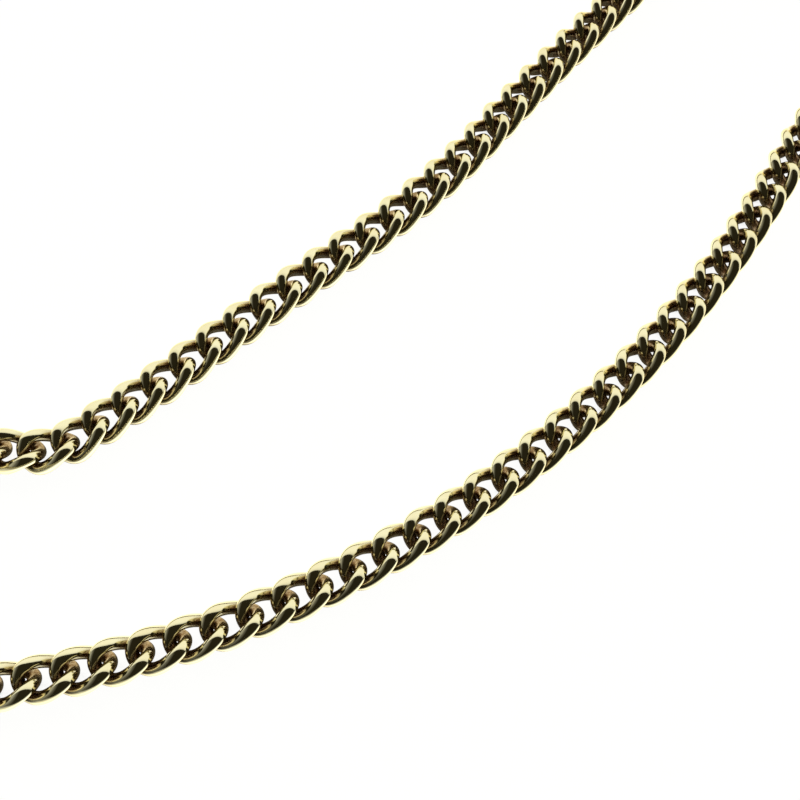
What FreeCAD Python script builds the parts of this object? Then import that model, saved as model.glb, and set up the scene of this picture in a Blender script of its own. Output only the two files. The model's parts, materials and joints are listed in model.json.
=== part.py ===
import FreeCAD, Part
import math
import os
from FreeCAD import Placement, Rotation, Vector

# Pocket watch chain: 86 twisted curb links with a spring swivel at one end and a T-bar at the
# other. It lies on the floor plane z = 0. Lengths are in mm, angles in degrees.

# Curb link: an oval of round wire, twisted so that its two ends lean opposite ways.
PITCH = 3.65
WIRE = 1.35
LINK_SLACK = 0.11
LINK_HALF_LENGTH = (PITCH + WIRE + LINK_SLACK) / 2
LINK_HALF_WIDTH = 1.68
LINK_TWIST = 1.10
LINK_SPANS = 8
AXIS_HEIGHT = LINK_TWIST + WIRE / 2

# Route of the chain, from the swivel to the T-bar: links in a stretch, turn at each link.
START_HEADING = 180.0
ROUTE = [
    (5, 11.79),
    (4, -0.85),
    (6, -1.55),
    (6, -1.65),
    (6, -1.9),
    (8, -1.85),
    (4, 0.7),
    (15, -13.95),
    (3, 3.5),
    (2, 21.1),
    (4, 1.3),
    (6, -0.5),
    (6, 2.2),
    (10, -0.5),
]
LINKS_PER_NODE = 2

# Jump rings and eyes. Lean is the tilt of the ring's plane about the line of the chain.
CONTACT_GAP = 0.06
JUMP_RING_RADIUS = 2.2
JUMP_RING_WIRE = 1.0
JUMP_RING_LEAN = 35.0
EYE_RADIUS = 2.0
EYE_WIRE = 1.1
EYE_LEAN = -36.0

# Swivel, in a frame whose X runs out along the chain and whose origin is the end link's centre.
STEM_RADIUS = 0.80
STEM_BORE = 0.86
RIVET_RADIUS = 1.25
RIVET_LENGTH = 0.8
RIVET_ROOM = 1.38
SHOULDER_RADIUS = 1.0
SHOULDER_LENGTH = 0.85
BARREL_RADIUS = 1.775
BARREL_LENGTH = 3.6
BARREL_ROUNDING = 0.35
BARREL_WALL = 1.2
BARREL_WINDOW = 1.1
BARREL_WINDOW_HEIGHT = 1.8
HOOK_WIRE = 2.3
HOOK_BEND = 3.6
HOOK_THROAT = 3.2
HOOK_STRAIGHT = 6.2
NOSE_LENGTH = 3.6
PIVOT_AHEAD = 1.0
PIVOT_SIDE = 1.6
LUG_THICKNESS = 2.6
LUG_RADIUS = 1.15
LUG_LENGTH = 2.2
LUG_ROUNDING = 0.22
LUG_CORNER = 0.9
LUG_SLOT = 1.36
LUG_SLOT_LENGTH = 1.6
LUG_SLOT_FLOOR = 0.1
PIN_RADIUS = 0.45
PIN_BORE = 0.52
GATE_KNUCKLE = 1.02
GATE_KNUCKLE_HEIGHT = 1.2
GATE_WIRE = 1.3
GATE_REACH = 5.6
GATE_TIP_GAP = 0.12
STUD_RADIUS = 0.62
STUD_AHEAD = 1.4
STUD_SINK = 0.57
SPRING_LENGTH = 1.9
SPRING_BACK = 0.5
SPRING_WIDTH = 1.0
SPRING_THICKNESS = 0.22
SPRING_CLEARANCE = 0.02

# T-bar, in the same kind of frame at the other end. The bar lies across the chain.
COLLAR_RADIUS = 1.75
COLLAR_BORE = 1.32
COLLAR_WIDTH = 3.2
COLLAR_ROUNDING = 0.25
COLLAR_BEYOND_EYE = 1.0
BAR_RADIUS = 1.25
BAR_HALF_LENGTH = 11.0
STOP_RADIUS = 1.62
STOP_WIDTH = 0.8
STOP_ROUNDING = 0.3
STOP_GAP = 0.1
BALL_RADIUS = 1.775
BALL_SINK = 0.7

UP = Vector(0, 0, 1)


def direction(heading):
    """Unit vector in the floor plane at a heading."""
    angle = math.radians(heading)
    return Vector(math.cos(angle), math.sin(angle), 0)


def lay_links():
    """Centre and heading of every link, laid one pitch after another along the route."""
    centre = Vector(0, 0, AXIS_HEIGHT)
    heading = START_HEADING
    places = [(centre, heading)]
    for count, turn in ROUTE:
        for _ in range(count):
            turned = heading + turn
            centre = centre + (direction(heading) + direction(turned)) * (PITCH / 2)
            heading = turned
            places.append((centre, heading))
    return places


def link_point(turn):
    """Point on a link's centreline, where turn runs once round in radians."""
    return Vector(
        LINK_HALF_LENGTH * math.cos(turn),
        LINK_HALF_WIDTH * math.sin(turn),
        -LINK_TWIST * math.sin(2 * turn),
    )


def link_tangent(turn):
    """Unit tangent of a link's centreline."""
    tangent = Vector(
        -LINK_HALF_LENGTH * math.sin(turn),
        LINK_HALF_WIDTH * math.cos(turn),
        -2 * LINK_TWIST * math.cos(2 * turn),
    )
    return tangent.normalize()


def tangent_arc(start, tangent, end):
    """Arc from start, along the tangent there, to end."""
    chord = end - start
    side = (chord - tangent * chord.dot(tangent)).normalize()
    angle = math.acos(tangent.dot(chord) / chord.Length)
    centre = start + side * (chord.Length / (2 * math.sin(angle)))
    outward = ((start + end) * 0.5 - centre).normalize()
    middle = centre + outward * (start - centre).Length
    return Part.Arc(start, middle, end).toShape()


def arc_pair(first, second):
    """Two arcs that meet smoothly and follow the centreline from one turn to the other."""
    start, end = link_point(first), link_point(second)
    leave, arrive = link_tangent(first), link_tangent(second)
    span = end - start
    both = leave + arrive
    spread = 2 * (1 - leave.dot(arrive))
    along = span.dot(both)
    reach = (math.sqrt(along * along + spread * span.dot(span)) - along) / spread
    joint = (start + leave * reach + end - arrive * reach) * 0.5
    return [tangent_arc(start, leave, joint), tangent_arc(end, arrive * -1, joint)]


def half_link(first_span):
    """Tube faces of the half of a link that starts at one of its spans."""
    step = 2 * math.pi / LINK_SPANS
    edges = []
    for span in range(first_span, first_span + LINK_SPANS // 2):
        edges += arc_pair(span * step, (span + 1) * step)
    start = first_span * step
    section = Part.Circle(link_point(start), link_tangent(start), WIRE / 2)
    return Part.Wire(edges).makePipeShell([Part.Wire(section.toShape())], False, False).Faces


def make_link():
    """One closed link about the origin, its length along X."""
    skin = Part.makeCompound(half_link(0) + half_link(LINK_SPANS // 2))
    skin.sewShape()
    return Part.Solid(skin.Shells[0])


def ring(x, radius, wire, lean):
    """Round wire ring centred on the X axis, its plane holding that axis and leaning about it."""
    normal = Rotation(Vector(1, 0, 0), lean).multVec(UP)
    return Part.makeTorus(radius, wire / 2, Vector(x, 0, 0), normal)


def tube(edges, radius):
    """Round rod along connected edges that starts at the first one's start."""
    path = Part.Wire(edges)
    start = edges[0].valueAt(edges[0].FirstParameter)
    along = edges[0].tangentAt(edges[0].FirstParameter)
    section = Part.Wire(Part.Circle(start, along, radius).toShape())
    return path.makePipeShell([section], True, False)


def line(start, end):
    """Straight edge between two points of the floor plane."""
    return Part.LineSegment(Vector(*start, 0), Vector(*end, 0)).toShape()


def bend(centre, radius, first, last):
    """Circular edge in the floor plane, from one polar angle to another."""
    middle = (first + last) / 2
    ends = [Vector(*centre, 0) + direction(a) * radius for a in (first, middle, last)]
    return Part.Arc(*ends).toShape()


# Stations along the line of an end fitting.
RING_CENTRE = (
    LINK_HALF_LENGTH - WIRE / 2 - JUMP_RING_WIRE / 2 - CONTACT_GAP + JUMP_RING_RADIUS
)
RING_FAR = RING_CENTRE + JUMP_RING_RADIUS
EYE_CENTRE = RING_FAR - JUMP_RING_WIRE / 2 - EYE_WIRE / 2 - CONTACT_GAP + EYE_RADIUS
EYE_FAR = EYE_CENTRE + EYE_RADIUS
BARREL_START = EYE_FAR + EYE_WIRE
RIVET_START = BARREL_START + BARREL_WALL + (BARREL_WINDOW - RIVET_LENGTH) / 2
BARREL_END = BARREL_START + BARREL_LENGTH
THROAT_END = BARREL_END - HOOK_WIRE / 2 + HOOK_THROAT
HOOK_CENTRE = THROAT_END + HOOK_STRAIGHT
PIVOT = (BARREL_END + PIVOT_AHEAD, PIVOT_SIDE)
COLLAR_CENTRE = EYE_FAR + EYE_WIRE / 2 + COLLAR_BEYOND_EYE


def jump_ring():
    return ring(RING_CENTRE, JUMP_RING_RADIUS, JUMP_RING_WIRE, JUMP_RING_LEAN)


def eye_ring():
    return ring(EYE_CENTRE, EYE_RADIUS, EYE_WIRE, EYE_LEAN)


def rod(start, length, radius, along=Vector(1, 0, 0)):
    """Cylinder whose start is a point or a station on the X axis."""
    base = start if isinstance(start, Vector) else Vector(start, 0, 0)
    return Part.makeCylinder(radius, length, base, along)


def rounded_rod(start, length, radius, rounding, along=Vector(1, 0, 0)):
    """Cylinder with both of its rims rounded."""
    body = rod(start, length, radius, along)
    rims = [edge for edge in body.Edges if isinstance(edge.Curve, Part.Circle)]
    return body.makeFillet(rounding, rims)


def block(x, y, z):
    """Box between the two values given on each axis."""
    size = (x[1] - x[0], y[1] - y[0], z[1] - z[0])
    return Part.makeBox(*size, Vector(x[0], y[0], z[0]))


def swivel_eye():
    """Eye, stem and the rivet head that holds the stem in the barrel."""
    stem = rod(EYE_FAR, RIVET_START - EYE_FAR + RIVET_LENGTH / 2, STEM_RADIUS)
    rivet = rod(RIVET_START, RIVET_LENGTH, RIVET_RADIUS)
    shoulder = Part.makeCone(
        SHOULDER_RADIUS, STEM_RADIUS, SHOULDER_LENGTH, Vector(EYE_FAR, 0, 0), Vector(1, 0, 0)
    )
    return eye_ring().fuse(stem.fuse([rivet, shoulder])).removeSplitter()


def pivot_rod(height, radius):
    """Upright cylinder on the gate's pivot, centred on the hook's middle plane."""
    return rod(Vector(*PIVOT, -height / 2), height, radius, UP)


def hook_wire():
    """Throat, straight back, round end and nose of the hook."""
    throat = (THROAT_END, HOOK_THROAT - HOOK_BEND)
    edges = [
        bend(throat, HOOK_THROAT, 180, 270),
        line((THROAT_END, -HOOK_BEND), (HOOK_CENTRE, -HOOK_BEND)),
        bend((HOOK_CENTRE, 0), HOOK_BEND, -90, 90),
        line((HOOK_CENTRE, HOOK_BEND), (HOOK_CENTRE - NOSE_LENGTH, HOOK_BEND)),
    ]
    return tube(edges, HOOK_WIRE / 2)


def gate_sweep():
    """Space round the nose that the gate's tip turns through."""
    corner = block((PIVOT[0], HOOK_CENTRE), (HOOK_BEND / 2, 2 * HOOK_BEND), (-2, 2))
    return pivot_rod(4, GATE_REACH + GATE_TIP_GAP).common(corner)


def lugs():
    """Rounded block round the gate's pivot, before it is slotted."""
    half = LUG_THICKNESS / 2
    back = PIVOT[0] - LUG_LENGTH
    body = block((back, PIVOT[0]), (0, PIVOT[1] + LUG_RADIUS), (-half, half))
    corner = [
        edge
        for edge in body.Edges
        if all(v.X < PIVOT[0] - LUG_RADIUS and v.Y > PIVOT[1] for v in edge.Vertexes)
    ]
    body = body.makeFillet(LUG_CORNER, corner).fuse(pivot_rod(LUG_THICKNESS, LUG_RADIUS))
    body = body.removeSplitter()
    rims = [edge for edge in body.Edges if abs(abs(edge.CenterOfMass.z) - half) < 1e-6]
    return body.makeFillet(LUG_ROUNDING, rims)


def swivel_hook():
    """Barrel, hook and the two lugs that hold the gate's pin."""
    barrel = rounded_rod(BARREL_START, BARREL_LENGTH, BARREL_RADIUS, BARREL_ROUNDING)
    body = barrel.fuse([hook_wire().cut(gate_sweep()), lugs()])
    window = (BARREL_START + BARREL_WALL, BARREL_START + BARREL_WALL + BARREL_WINDOW)
    window_half = BARREL_WINDOW_HEIGHT / 2
    slot_half = LUG_SLOT / 2
    slot_start = PIVOT[0] - LUG_SLOT_LENGTH
    cuts = [
        rod(BARREL_START - 1, BARREL_WALL + 1.5, STEM_BORE),
        rod(window[0], BARREL_WINDOW, RIVET_ROOM),
        block(window, (-2, 2), (-window_half, window_half)),
        block((slot_start, PIVOT[0] + 2), (LUG_SLOT_FLOOR, 4), (-slot_half, slot_half)),
        pivot_rod(LUG_THICKNESS + 1, PIN_RADIUS),
    ]
    for cut in cuts:
        body = body.cut(cut)
    return body.removeSplitter()


def swivel_gate():
    """Knuckle, curved lever and thumb stud of the gate."""
    rise = HOOK_BEND - PIVOT[1]
    elbow = (PIVOT[0] + rise, HOOK_BEND)
    edges = [
        bend((elbow[0], PIVOT[1]), rise, 180, 90),
        line(elbow, (elbow[0] + GATE_REACH, HOOK_BEND)),
    ]
    lever = tube(edges, GATE_WIRE / 2).common(pivot_rod(4, GATE_REACH))
    half = GATE_KNUCKLE_HEIGHT / 2
    lever = lever.common(block((0, HOOK_CENTRE), (0, 2 * HOOK_BEND), (-half, half)))
    top = HOOK_BEND + GATE_WIRE / 2 + STUD_RADIUS - STUD_SINK
    stud = Part.makeSphere(STUD_RADIUS, Vector(elbow[0] + STUD_AHEAD, top, 0))
    knuckle = pivot_rod(GATE_KNUCKLE_HEIGHT, GATE_KNUCKLE)
    return knuckle.fuse([lever, stud]).cut(pivot_rod(3, PIN_BORE)).removeSplitter()


def swivel_gate_pin():
    return pivot_rod(LUG_THICKNESS, PIN_RADIUS)


def swivel_gate_spring():
    """Leaf under the gate's knuckle, in the slot between the lugs."""
    start = BARREL_END - SPRING_BACK
    under = LUG_SLOT_FLOOR + SPRING_CLEARANCE
    return block(
        (start, start + SPRING_LENGTH),
        (under, under + SPRING_THICKNESS),
        (-SPRING_WIDTH / 2, SPRING_WIDTH / 2),
    )


def across(y, length, radius, rounding=0):
    """Cylinder on the T-bar's axis, from one place across the chain."""
    start, along = Vector(COLLAR_CENTRE, y, 0), Vector(0, 1, 0)
    if rounding:
        return rounded_rod(start, length, radius, rounding, along)
    return rod(start, length, radius, along)


def t_bar_eye():
    """Collar that the bar turns in, with its eye."""
    collar = across(-COLLAR_WIDTH / 2, COLLAR_WIDTH, COLLAR_RADIUS, COLLAR_ROUNDING)
    bore = across(-COLLAR_WIDTH, 2 * COLLAR_WIDTH, COLLAR_BORE)
    return collar.fuse(eye_ring()).cut(bore).removeSplitter()


def t_bar_shaft():
    half = BAR_HALF_LENGTH + BALL_SINK
    return across(-half, 2 * half, BAR_RADIUS)


def t_bar_stop(side):
    """Narrow ring on the bar beside the collar, on the side +1 or -1."""
    middle = side * (COLLAR_WIDTH / 2 + STOP_GAP + STOP_WIDTH / 2)
    start = middle - STOP_WIDTH / 2
    return across(start, STOP_WIDTH, STOP_RADIUS, STOP_ROUNDING).cut(t_bar_shaft())


def t_bar_ball(side):
    """Ball on the bar's end, on the side +1 or -1."""
    depth = math.sqrt(BALL_RADIUS**2 - BAR_RADIUS**2)
    centre = Vector(COLLAR_CENTRE, side * (BAR_HALF_LENGTH + depth), 0)
    return Part.makeSphere(BALL_RADIUS, centre).cut(t_bar_shaft())


def put(shape, centre, heading):
    """Copy of a shape turned to a heading and moved to a centre."""
    placed = shape.copy()
    placed.Placement = Placement(centre, Rotation(UP, heading))
    return placed


def node_name(first):
    return f"links_{first + 1:02d}_{first + LINKS_PER_NODE:02d}"


def chain_nodes(places):
    """Nodes of two links each, along the whole chain."""
    link = make_link()
    nodes = {}
    for first in range(0, len(places), LINKS_PER_NODE):
        group = places[first : first + LINKS_PER_NODE]
        nodes[node_name(first)] = [put(link, centre, heading) for centre, heading in group]
    return nodes


def end_nodes(places):
    """Nodes of the swivel and of the T-bar."""
    swivel_end = (places[0][0], places[0][1] + 180)
    swivel = {
        "swivel_jump_ring": jump_ring(),
        "swivel_eye": swivel_eye(),
        "swivel_hook": swivel_hook(),
        "swivel_gate": swivel_gate(),
        "swivel_gate_pin": swivel_gate_pin(),
        "swivel_gate_spring": swivel_gate_spring(),
    }
    t_bar = {
        "t_bar_jump_ring": jump_ring(),
        "t_bar_eye": t_bar_eye(),
        "t_bar_shaft": t_bar_shaft(),
        "t_bar_stop_left": t_bar_stop(1),
        "t_bar_stop_right": t_bar_stop(-1),
        "t_bar_ball_left": t_bar_ball(1),
        "t_bar_ball_right": t_bar_ball(-1),
    }
    nodes = {name: [put(shape, *swivel_end)] for name, shape in swivel.items()}
    nodes.update({name: [put(shape, *places[-1])] for name, shape in t_bar.items()})
    return nodes


def centred(nodes):
    """Nodes and the shift that put the middle of the assembly's base at the origin."""
    box = FreeCAD.BoundBox()
    for solids in nodes.values():
        for solid in solids:
            box.add(solid.optimalBoundingBox(False))
    shift = Vector(-(box.XMin + box.XMax) / 2, -(box.YMin + box.YMax) / 2, -box.ZMin)
    for solids in nodes.values():
        for solid in solids:
            solid.translate(shift)
    return nodes, shift


LINKS = lay_links()
NODES, SHIFT = centred({**chain_nodes(LINKS), **end_nodes(LINKS)})

os.makedirs("parts", exist_ok=True)
for node, solids in NODES.items():
    shape = solids[0] if len(solids) == 1 else Part.makeCompound(solids)
    shape.exportStep(f"parts/{node}.step")
    state = "valid" if all(s.isValid() for s in solids) else "NOT VALID"
    print(node, len(solids), round(sum(s.Volume for s in solids), 2), state)
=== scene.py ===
import json
import math

import bmesh
import bpy
import numpy as np
from mathutils import Matrix, Vector, noise


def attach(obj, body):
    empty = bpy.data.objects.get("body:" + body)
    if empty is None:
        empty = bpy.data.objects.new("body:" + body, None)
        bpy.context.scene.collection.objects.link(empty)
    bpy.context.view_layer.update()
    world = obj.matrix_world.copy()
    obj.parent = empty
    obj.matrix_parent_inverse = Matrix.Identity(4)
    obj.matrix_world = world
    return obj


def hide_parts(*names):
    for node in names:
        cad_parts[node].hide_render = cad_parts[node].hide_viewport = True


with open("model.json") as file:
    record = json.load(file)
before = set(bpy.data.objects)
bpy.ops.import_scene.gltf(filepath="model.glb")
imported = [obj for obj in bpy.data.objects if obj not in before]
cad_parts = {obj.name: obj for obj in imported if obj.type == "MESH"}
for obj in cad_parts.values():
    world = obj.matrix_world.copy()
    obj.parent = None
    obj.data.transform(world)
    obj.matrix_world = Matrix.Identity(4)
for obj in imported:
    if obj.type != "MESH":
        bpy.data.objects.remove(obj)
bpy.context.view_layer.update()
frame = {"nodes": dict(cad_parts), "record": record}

# Lengths are in metres, angles in degrees.
MM = 0.001

# Curb link, as in the CAD model: an oval of round wire with its two ends twisted apart.
WIRE = 1.35 * MM
LINK_HALF_LENGTH = 2.555 * MM
LINK_HALF_WIDTH = 1.68 * MM
LINK_TWIST = 1.10 * MM
LINK_STEPS = 112
WIRE_STEPS = 28
WAVE_SIZE = 0.9 * MM
WAVE_DEPTH = 0.006 * MM

# Faint hammer waves in the wire, and scratches, both in the gold's shading.
HAMMER_SIZE = 0.8 * MM
HAMMER_DEPTH = 0.02 * MM
HAIRLINE_SIZE = 0.55 * MM
HAIRLINE_DEPTH = 0.004 * MM
HAIRLINE_SQUEEZE = 9
HAIRLINE_ROUGHNESS = 0.16
PATCH_SIZE = 2.6 * MM
# Painted shade: the size of its unevenness, how far ambient occlusion looks for crevices to darken
# the gold, and how rough the shaded crevices get.
SHADE_UNEVENNESS_SIZE = 0.3 * MM
CREVICE_REACH = 1.8 * MM
CREVICE_ROUGHNESS = 0.4

# Camera: it looks along +Y and down at a point of the chain's middle plane.
CAMERA_POINT = Vector((-8.31, -22.26, 1.775)) * MM
CAMERA_ELEVATION = 65.7
CAMERA_DISTANCE = 118.3 * MM
CAMERA_VIEW_ANGLE = 39.43

# Floor: its glow to the eye, its light on the gold, how dim its painted shadow under the chain
# gets, and the share of a grazing view at which it starts and ends to mirror the room instead.
FLOOR_SIZE = 1.6
FLOOR_GLOW = 0.98
FLOOR_LIGHT = 2.0
FLOOR_SHADE = 0.1
FLOOR_REACH = 2.4 * MM
FLOOR_GRAZING = (0.3, 0.8)
FLOOR_GLOSS_ROUGHNESS = 0.1
FLOOR_TINT = (1, 1, 0.985, 1)
FLOOR_BASE = [(0, (0.08, 0.08, 0.08)), (1, (0.1, 0.1, 0.1))]
FLOOR_CLOUDS = 0.4

MERGE_DISTANCE = 1e-7
WHITE = (1, 1, 1, 1)


def make_camera():
    """Camera at the photograph's viewing angle."""
    data = bpy.data.cameras.new("camera")
    data.angle = math.radians(CAMERA_VIEW_ANGLE)
    data.clip_start = MM
    data.dof.use_dof = False
    camera = bpy.data.objects.new("camera", data)
    bpy.context.scene.collection.objects.link(camera)
    turned = Matrix.Rotation(math.radians(90 - CAMERA_ELEVATION), 4, "X")
    back = turned.to_3x3() @ Vector((0, 0, CAMERA_DISTANCE))
    camera.matrix_world = Matrix.Translation(CAMERA_POINT + back) @ turned
    bpy.context.scene.camera = camera


class Graph:
    """Short names for building a node tree."""

    def __init__(self, tree):
        self.tree = tree

    def add(self, kind, **values):
        """Node with its properties, and its inputs by name or number, set."""
        node = self.tree.nodes.new(kind)
        for name, value in values.items():
            if name == "inputs":
                for socket, item in value.items():
                    self.set(node.inputs[socket], item)
            else:
                setattr(node, name, value)
        return node

    def set(self, socket, item):
        if isinstance(item, bpy.types.NodeSocket):
            self.tree.links.new(item, socket)
        else:
            socket.default_value = item

    def ramp(self, factor, stops):
        """Colour ramp of (position, colour) stops."""
        node = self.add("ShaderNodeValToRGB", inputs={0: factor})
        elements = node.color_ramp.elements
        while len(elements) < len(stops):
            elements.new(0.5)
        for element, (position, colour) in zip(elements, stops):
            element.position = position
            element.color = (*colour, 1)
        return node.outputs[0]

    def value(self, factor, low, high, start=0.0, end=1.0):
        """Factor between start and end, mapped to low and high."""
        inputs = {0: factor, 1: start, 2: end, 3: low, 4: high}
        return self.add("ShaderNodeMapRange", inputs=inputs).outputs[0]

    def noise(self, where, size, detail):
        """Noise whose features are about one size across."""
        inputs = {"Vector": where, "Scale": 1 / size, "Detail": detail}
        return self.add("ShaderNodeTexNoise", inputs=inputs).outputs["Fac"]

    def stretched(self, where, turn, squeeze):
        """Coordinates turned and squeezed, for streaks."""
        inputs = {"Vector": where, "Rotation": turn, "Scale": squeeze}
        return self.add("ShaderNodeMapping", inputs=inputs).outputs[0]

    def mix(self, factor, first, second):
        """Mix of two colours."""
        node = self.add("ShaderNodeMix", data_type="RGBA", inputs={0: factor})
        self.set(node.inputs[6], first)
        self.set(node.inputs[7], second)
        return node.outputs[2]

    def blend(self, factor, first, second):
        """Mix of two shader nodes."""
        inputs = {0: factor, 1: first.outputs[0], 2: second.outputs[0]}
        return self.add("ShaderNodeMixShader", inputs=inputs)

    def bump(self, height, strength, depth):
        inputs = {"Height": height, "Strength": strength, "Distance": depth}
        return self.add("ShaderNodeBump", inputs=inputs)

    def math(self, operation, first, second):
        node = self.add("ShaderNodeMath", operation=operation, inputs={0: first, 1: second})
        return node.outputs[0]


def new_material(name):
    """Empty material: its graph and its Principled shader."""
    material = bpy.data.materials.new(name)
    material.use_nodes = True
    tree = material.node_tree
    tree.nodes.clear()
    graph = Graph(tree)
    output = graph.add("ShaderNodeOutputMaterial")
    shader = graph.add("ShaderNodeBsdfPrincipled")
    tree.links.new(shader.outputs[0], output.inputs[0])
    return material, graph, shader


GOLD_PALE = (0.81, 0.768, 0.5)
GOLD_DEEP = (0.78, 0.715, 0.44)
STEEL_PALE = (0.55, 0.55, 0.56)
STEEL_DEEP = (0.45, 0.45, 0.47)
# Dark brown of the painted shade in the crevices.
SHADE_BROWN = (0.15, 0.057, 0.017, 1)
EDGE_TINT = (0.88, 0.78, 0.56, 1)
LINK_POLISH = 0.06
FITTING_POLISH = 0.09
STEEL_POLISH = 0.2


def metal(name, pale, deep, polish):
    """Polished metal: colour patches, painted shade in the crevices, hairlines and hammer waves."""
    material, graph, shader = new_material(name)
    where = graph.add("ShaderNodeTexCoord").outputs["Object"]
    patches = graph.noise(where, PATCH_SIZE, 2.0)
    colour = graph.ramp(patches, [(0.35, deep), (0.65, pale)])
    # Painted shade: the base colour turns dark brown where ambient occlusion finds crevices, by
    # uneven amounts.
    crevice = graph.add("ShaderNodeAmbientOcclusion", samples=8, inputs={"Distance": CREVICE_REACH})
    shade_unevenness = graph.value(graph.noise(where, SHADE_UNEVENNESS_SIZE, 4.0), 0.75, 1.0, 0.35, 0.6)
    dark = graph.value(crevice.outputs["AO"], 0.96, 0.0, 0.38, 0.86)
    dark = graph.math("MULTIPLY", dark, shade_unevenness)
    graph.set(shader.inputs["Base Color"], graph.mix(dark, colour, SHADE_BROWN))
    shader.inputs["Metallic"].default_value = 1.0
    shader.inputs["Specular Tint"].default_value = EDGE_TINT

    long_way = graph.stretched(where, (0.3, 0.9, 0.5), (1, HAIRLINE_SQUEEZE, HAIRLINE_SQUEEZE))
    short_way = graph.stretched(where, (1.1, 0.2, 2.0), (HAIRLINE_SQUEEZE, 1, HAIRLINE_SQUEEZE))
    hair = graph.noise(long_way, HAIRLINE_SIZE, 5.0)
    cross = graph.noise(short_way, HAIRLINE_SIZE, 5.0)
    scratches = graph.math("MAXIMUM", hair, cross)
    rough = graph.value(scratches, polish, polish + HAIRLINE_ROUGHNESS, 0.52, 0.78)
    rough = graph.math("MAXIMUM", rough, graph.value(dark, 0.0, CREVICE_ROUGHNESS))
    graph.set(shader.inputs["Roughness"], rough)

    waves = graph.noise(where, HAMMER_SIZE, 1.5)
    swell = graph.bump(waves, 0.3, HAMMER_DEPTH)
    lines = graph.bump(scratches, 0.12, HAIRLINE_DEPTH)
    graph.set(lines.inputs["Normal"], swell.outputs[0])
    graph.set(shader.inputs["Normal"], lines.outputs[0])
    return material


def islands(node):
    """Vertex positions of each solid of a CAD node."""
    mesh = bmesh.new()
    mesh.from_mesh(frame["nodes"][node].data)
    bmesh.ops.remove_doubles(mesh, verts=mesh.verts, dist=MERGE_DISTANCE)
    loose = set(mesh.verts)
    found = []
    while loose:
        reached = [loose.pop()]
        for vertex in reached:
            near = {edge.other_vert(vertex) for edge in vertex.link_edges} & loose
            loose -= near
            reached.extend(near)
        found.append(np.array([vertex.co for vertex in reached]))
    mesh.free()
    return found


def link_places(node):
    """Centre and heading of each link of a node: a half turn leaves a link as it was."""
    places = []
    for points in islands(node):
        centre = (points.min(0) + points.max(0)) / 2
        flat = points[:, :2] - centre[:2]
        spread, axes = np.linalg.eigh(flat.T @ flat)
        along = axes[:, spread.argmax()]
        places.append((Vector(centre), math.atan2(along[1], along[0])))
    return sorted(places, key=lambda place: (round(place[0].x, 5), round(place[0].y, 5)))


def link_surface():
    """Points of a link's surface, ring after ring, and the outward normal at each."""
    turn = np.linspace(0, 2 * math.pi, LINK_STEPS, endpoint=False)
    middle = np.stack(
        [
            LINK_HALF_LENGTH * np.cos(turn),
            LINK_HALF_WIDTH * np.sin(turn),
            -LINK_TWIST * np.sin(2 * turn),
        ],
        axis=1,
    )
    tangent = np.stack(
        [
            -LINK_HALF_LENGTH * np.sin(turn),
            LINK_HALF_WIDTH * np.cos(turn),
            -2 * LINK_TWIST * np.cos(2 * turn),
        ],
        axis=1,
    )
    tangent /= np.linalg.norm(tangent, axis=1, keepdims=True)
    out = middle - tangent * (middle * tangent).sum(1, keepdims=True)
    out /= np.linalg.norm(out, axis=1, keepdims=True)
    side = np.cross(tangent, out)
    angle = np.linspace(0, 2 * math.pi, WIRE_STEPS, endpoint=False)[None, :, None]
    normal = np.cos(angle) * out[:, None] + np.sin(angle) * side[:, None]
    return middle[:, None] + normal * (WIRE / 2), normal


def quad_rings(rings, steps):
    """Faces of a closed tube of closed rings."""
    faces = []
    for ring in range(rings):
        ahead = (ring + 1) % rings
        for step in range(steps):
            beside = (step + 1) % steps
            corners = ((ring, step), (ring, beside), (ahead, beside), (ahead, step))
            faces.append([r * steps + s for r, s in corners])
    return faces


def add_mesh(name, points, faces, material):
    """Smooth shaded mesh object."""
    mesh = bpy.data.meshes.new(name)
    mesh.from_pydata([tuple(p) for p in points], [], faces)
    mesh.polygons.foreach_set("use_smooth", [True] * len(mesh.polygons))
    mesh.materials.append(material)
    piece = bpy.data.objects.new(name, mesh)
    bpy.context.scene.collection.objects.link(piece)
    return piece


def make_links(material):
    """Every link of the chain, each with its own faint unevenness."""
    surface, normal = link_surface()
    faces = quad_rings(LINK_STEPS, WIRE_STEPS)
    count = 0
    for node in sorted(n for n in frame["nodes"] if n.startswith("links_")):
        for centre, heading in link_places(node):
            count += 1
            turn = np.array(Matrix.Rotation(heading, 3, "Z"))
            points = (surface.reshape(-1, 3) @ turn.T) + np.array(centre)
            outward = normal.reshape(-1, 3) @ turn.T
            wave = [noise.noise(Vector(p) / WAVE_SIZE) for p in points]
            points = points + outward * (np.array(wave)[:, None] - 1) * WAVE_DEPTH
            piece = add_mesh(f"link_{count:02d}", points, faces, material)
            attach(piece, body_of(node))
            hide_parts(node)


def body_of(node):
    """Name of the body that a CAD node rides on."""
    groups = frame["record"]["behaviour"]["bodies"]
    return next(body for body, members in groups.items() if node in members)


def paint_fittings(swivel, t_bar, steel):
    """Materials of the end fittings that stay as the CAD model has them."""
    for name, node in frame["nodes"].items():
        if name.startswith("links_"):
            continue
        material = swivel if name.startswith("swivel") else t_bar
        if name == "swivel_gate_spring":
            material = steel
        for place in node.material_slots:
            place.material = material


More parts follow.
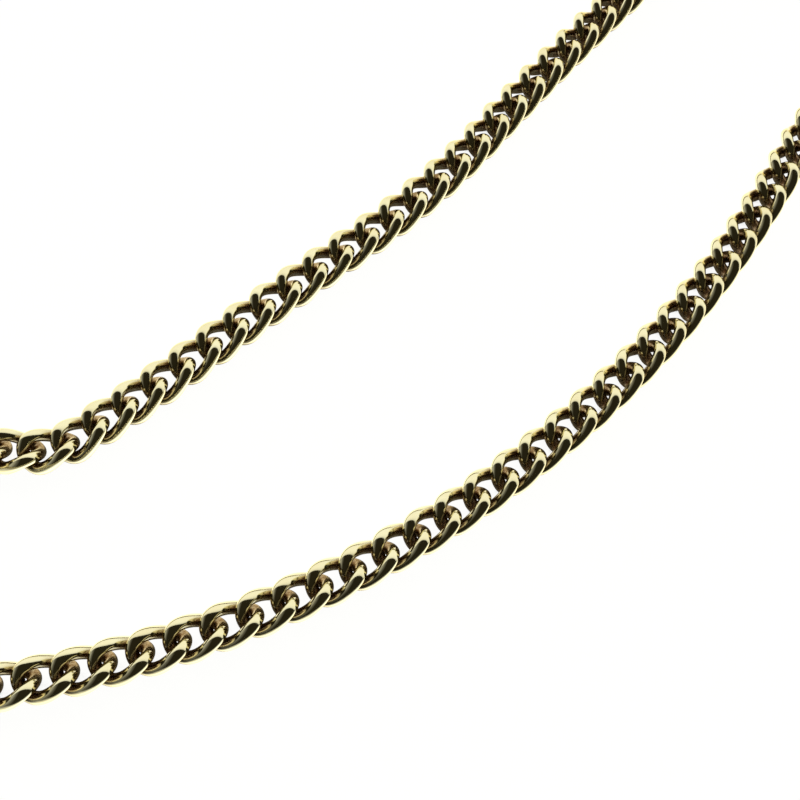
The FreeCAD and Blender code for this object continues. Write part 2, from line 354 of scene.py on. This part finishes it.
def make_floor():
    """Plain white floor that glows like a light table, with a painted shadow under the chain where
    its glow dims.

    The gold mirrors it brighter than it looks, and at a grazing angle mirrors the room in it.
    """
    half = FLOOR_SIZE / 2
    corners = [(-half, -half, 0), (half, -half, 0), (half, half, 0), (-half, half, 0)]
    material, graph, shader = new_material("floor_white")
    where = graph.add("ShaderNodeTexCoord").outputs["Object"]
    clouds = graph.noise(where, FLOOR_CLOUDS, 2.0)
    graph.set(shader.inputs["Base Color"], graph.ramp(clouds, FLOOR_BASE))
    shader.inputs["Roughness"].default_value = 0.9
    shader.inputs["Specular IOR Level"].default_value = 0.1
    # Painted shadow: ambient occlusion dims the floor's glow, and the light it gives the gold,
    # under and beside the chain.
    shadow_ao = graph.add("ShaderNodeAmbientOcclusion", samples=16, inputs={"Distance": FLOOR_REACH})
    glow = graph.value(shadow_ao.outputs["AO"], FLOOR_SHADE, FLOOR_GLOW, 0.0, 0.14)
    shader.inputs["Emission Color"].default_value = FLOOR_TINT
    graph.set(shader.inputs["Emission Strength"], glow)

    light = graph.value(shadow_ao.outputs["AO"], FLOOR_SHADE, FLOOR_LIGHT, 0.4, 0.7)
    light = graph.add("ShaderNodeEmission", inputs={"Color": FLOOR_TINT, "Strength": light})
    gloss = {"Color": WHITE, "Roughness": FLOOR_GLOSS_ROUGHNESS}
    gloss = graph.add("ShaderNodeBsdfAnisotropic", inputs=gloss)
    grazing = graph.add("ShaderNodeLayerWeight", inputs={"Blend": 0.5}).outputs["Facing"]
    grazing = graph.value(grazing, 0.0, 1.0, *FLOOR_GRAZING)
    mirrored = graph.blend(grazing, light, gloss)
    seen = graph.add("ShaderNodeLightPath").outputs["Is Camera Ray"]
    surface = shader.outputs[0].links[0].to_socket
    graph.set(surface, graph.blend(seen, mirrored, shader).outputs[0])
    floor = add_mesh("floor", corners, [(0, 1, 2, 3)], material)


# Studio: a white wall of light behind the chain and darkness on the camera's side, which the
# polished gold mirrors as crisp dark bands, with a little light from the left. Each light fills
# the directions near its own heading and elevation; its stops pair nearness with brightness.
WALL_HEADING = 79.0
WALL_ELEVATION = -19.5
WALL_STOPS = [(0.0, 0.0), (0.06, 0.7), (0.2, 0.9), (0.45, 1.0)]
WALL_COLOUR = (1.18, 1.17, 1.12, 1)
DARK_COLOUR = (0.021, 0.018, 0.011, 1)
SIDE_HEADING = 180.0
SIDE_STOPS = [(0.5, 0.0), (0.8, 0.1), (0.95, 0.32), (1.0, 0.4)]


def light_share(graph, ray, heading, elevation, stops):
    """Share of a light in each direction, by how near the direction is to the light's own."""
    heading, elevation = math.radians(heading), math.radians(elevation)
    towards = (
        math.cos(elevation) * math.cos(heading),
        math.cos(elevation) * math.sin(heading),
        math.sin(elevation),
    )
    near = graph.add("ShaderNodeVectorMath", operation="DOT_PRODUCT", inputs={0: ray, 1: towards})
    return graph.ramp(near.outputs["Value"], [(place, (share,) * 3) for place, share in stops])


def make_world():
    """Bright wall behind, dark room in front; the room itself looks white to the camera."""
    world = bpy.data.worlds.new("studio")
    world.use_nodes = True
    world.node_tree.nodes.clear()
    graph = Graph(world.node_tree)
    output = graph.add("ShaderNodeOutputWorld")
    ray = graph.add("ShaderNodeTexCoord").outputs["Generated"]
    wall = light_share(graph, ray, WALL_HEADING, WALL_ELEVATION, WALL_STOPS)
    side = light_share(graph, ray, SIDE_HEADING, 0, SIDE_STOPS)
    mirrored = graph.mix(side, DARK_COLOUR, WALL_COLOUR)
    mirrored = graph.mix(wall, mirrored, WALL_COLOUR)
    seen = graph.add("ShaderNodeLightPath").outputs["Is Camera Ray"]
    colour = graph.mix(seen, mirrored, WHITE)
    background = graph.add("ShaderNodeBackground", inputs={"Color": colour, "Strength": 1.0})
    world.node_tree.links.new(background.outputs[0], output.inputs[0])
    bpy.context.scene.world = world


make_camera()
make_world()
make_floor()
make_links(metal("link_gold", GOLD_PALE, GOLD_DEEP, LINK_POLISH))
paint_fittings(
    metal("swivel_gold", GOLD_PALE, GOLD_DEEP, FITTING_POLISH),
    metal("t_bar_gold", GOLD_PALE, GOLD_DEEP, FITTING_POLISH),
    metal("spring_steel", STEEL_PALE, STEEL_DEEP, STEEL_POLISH),
)
bpy.context.scene.view_settings.view_transform = "Standard"
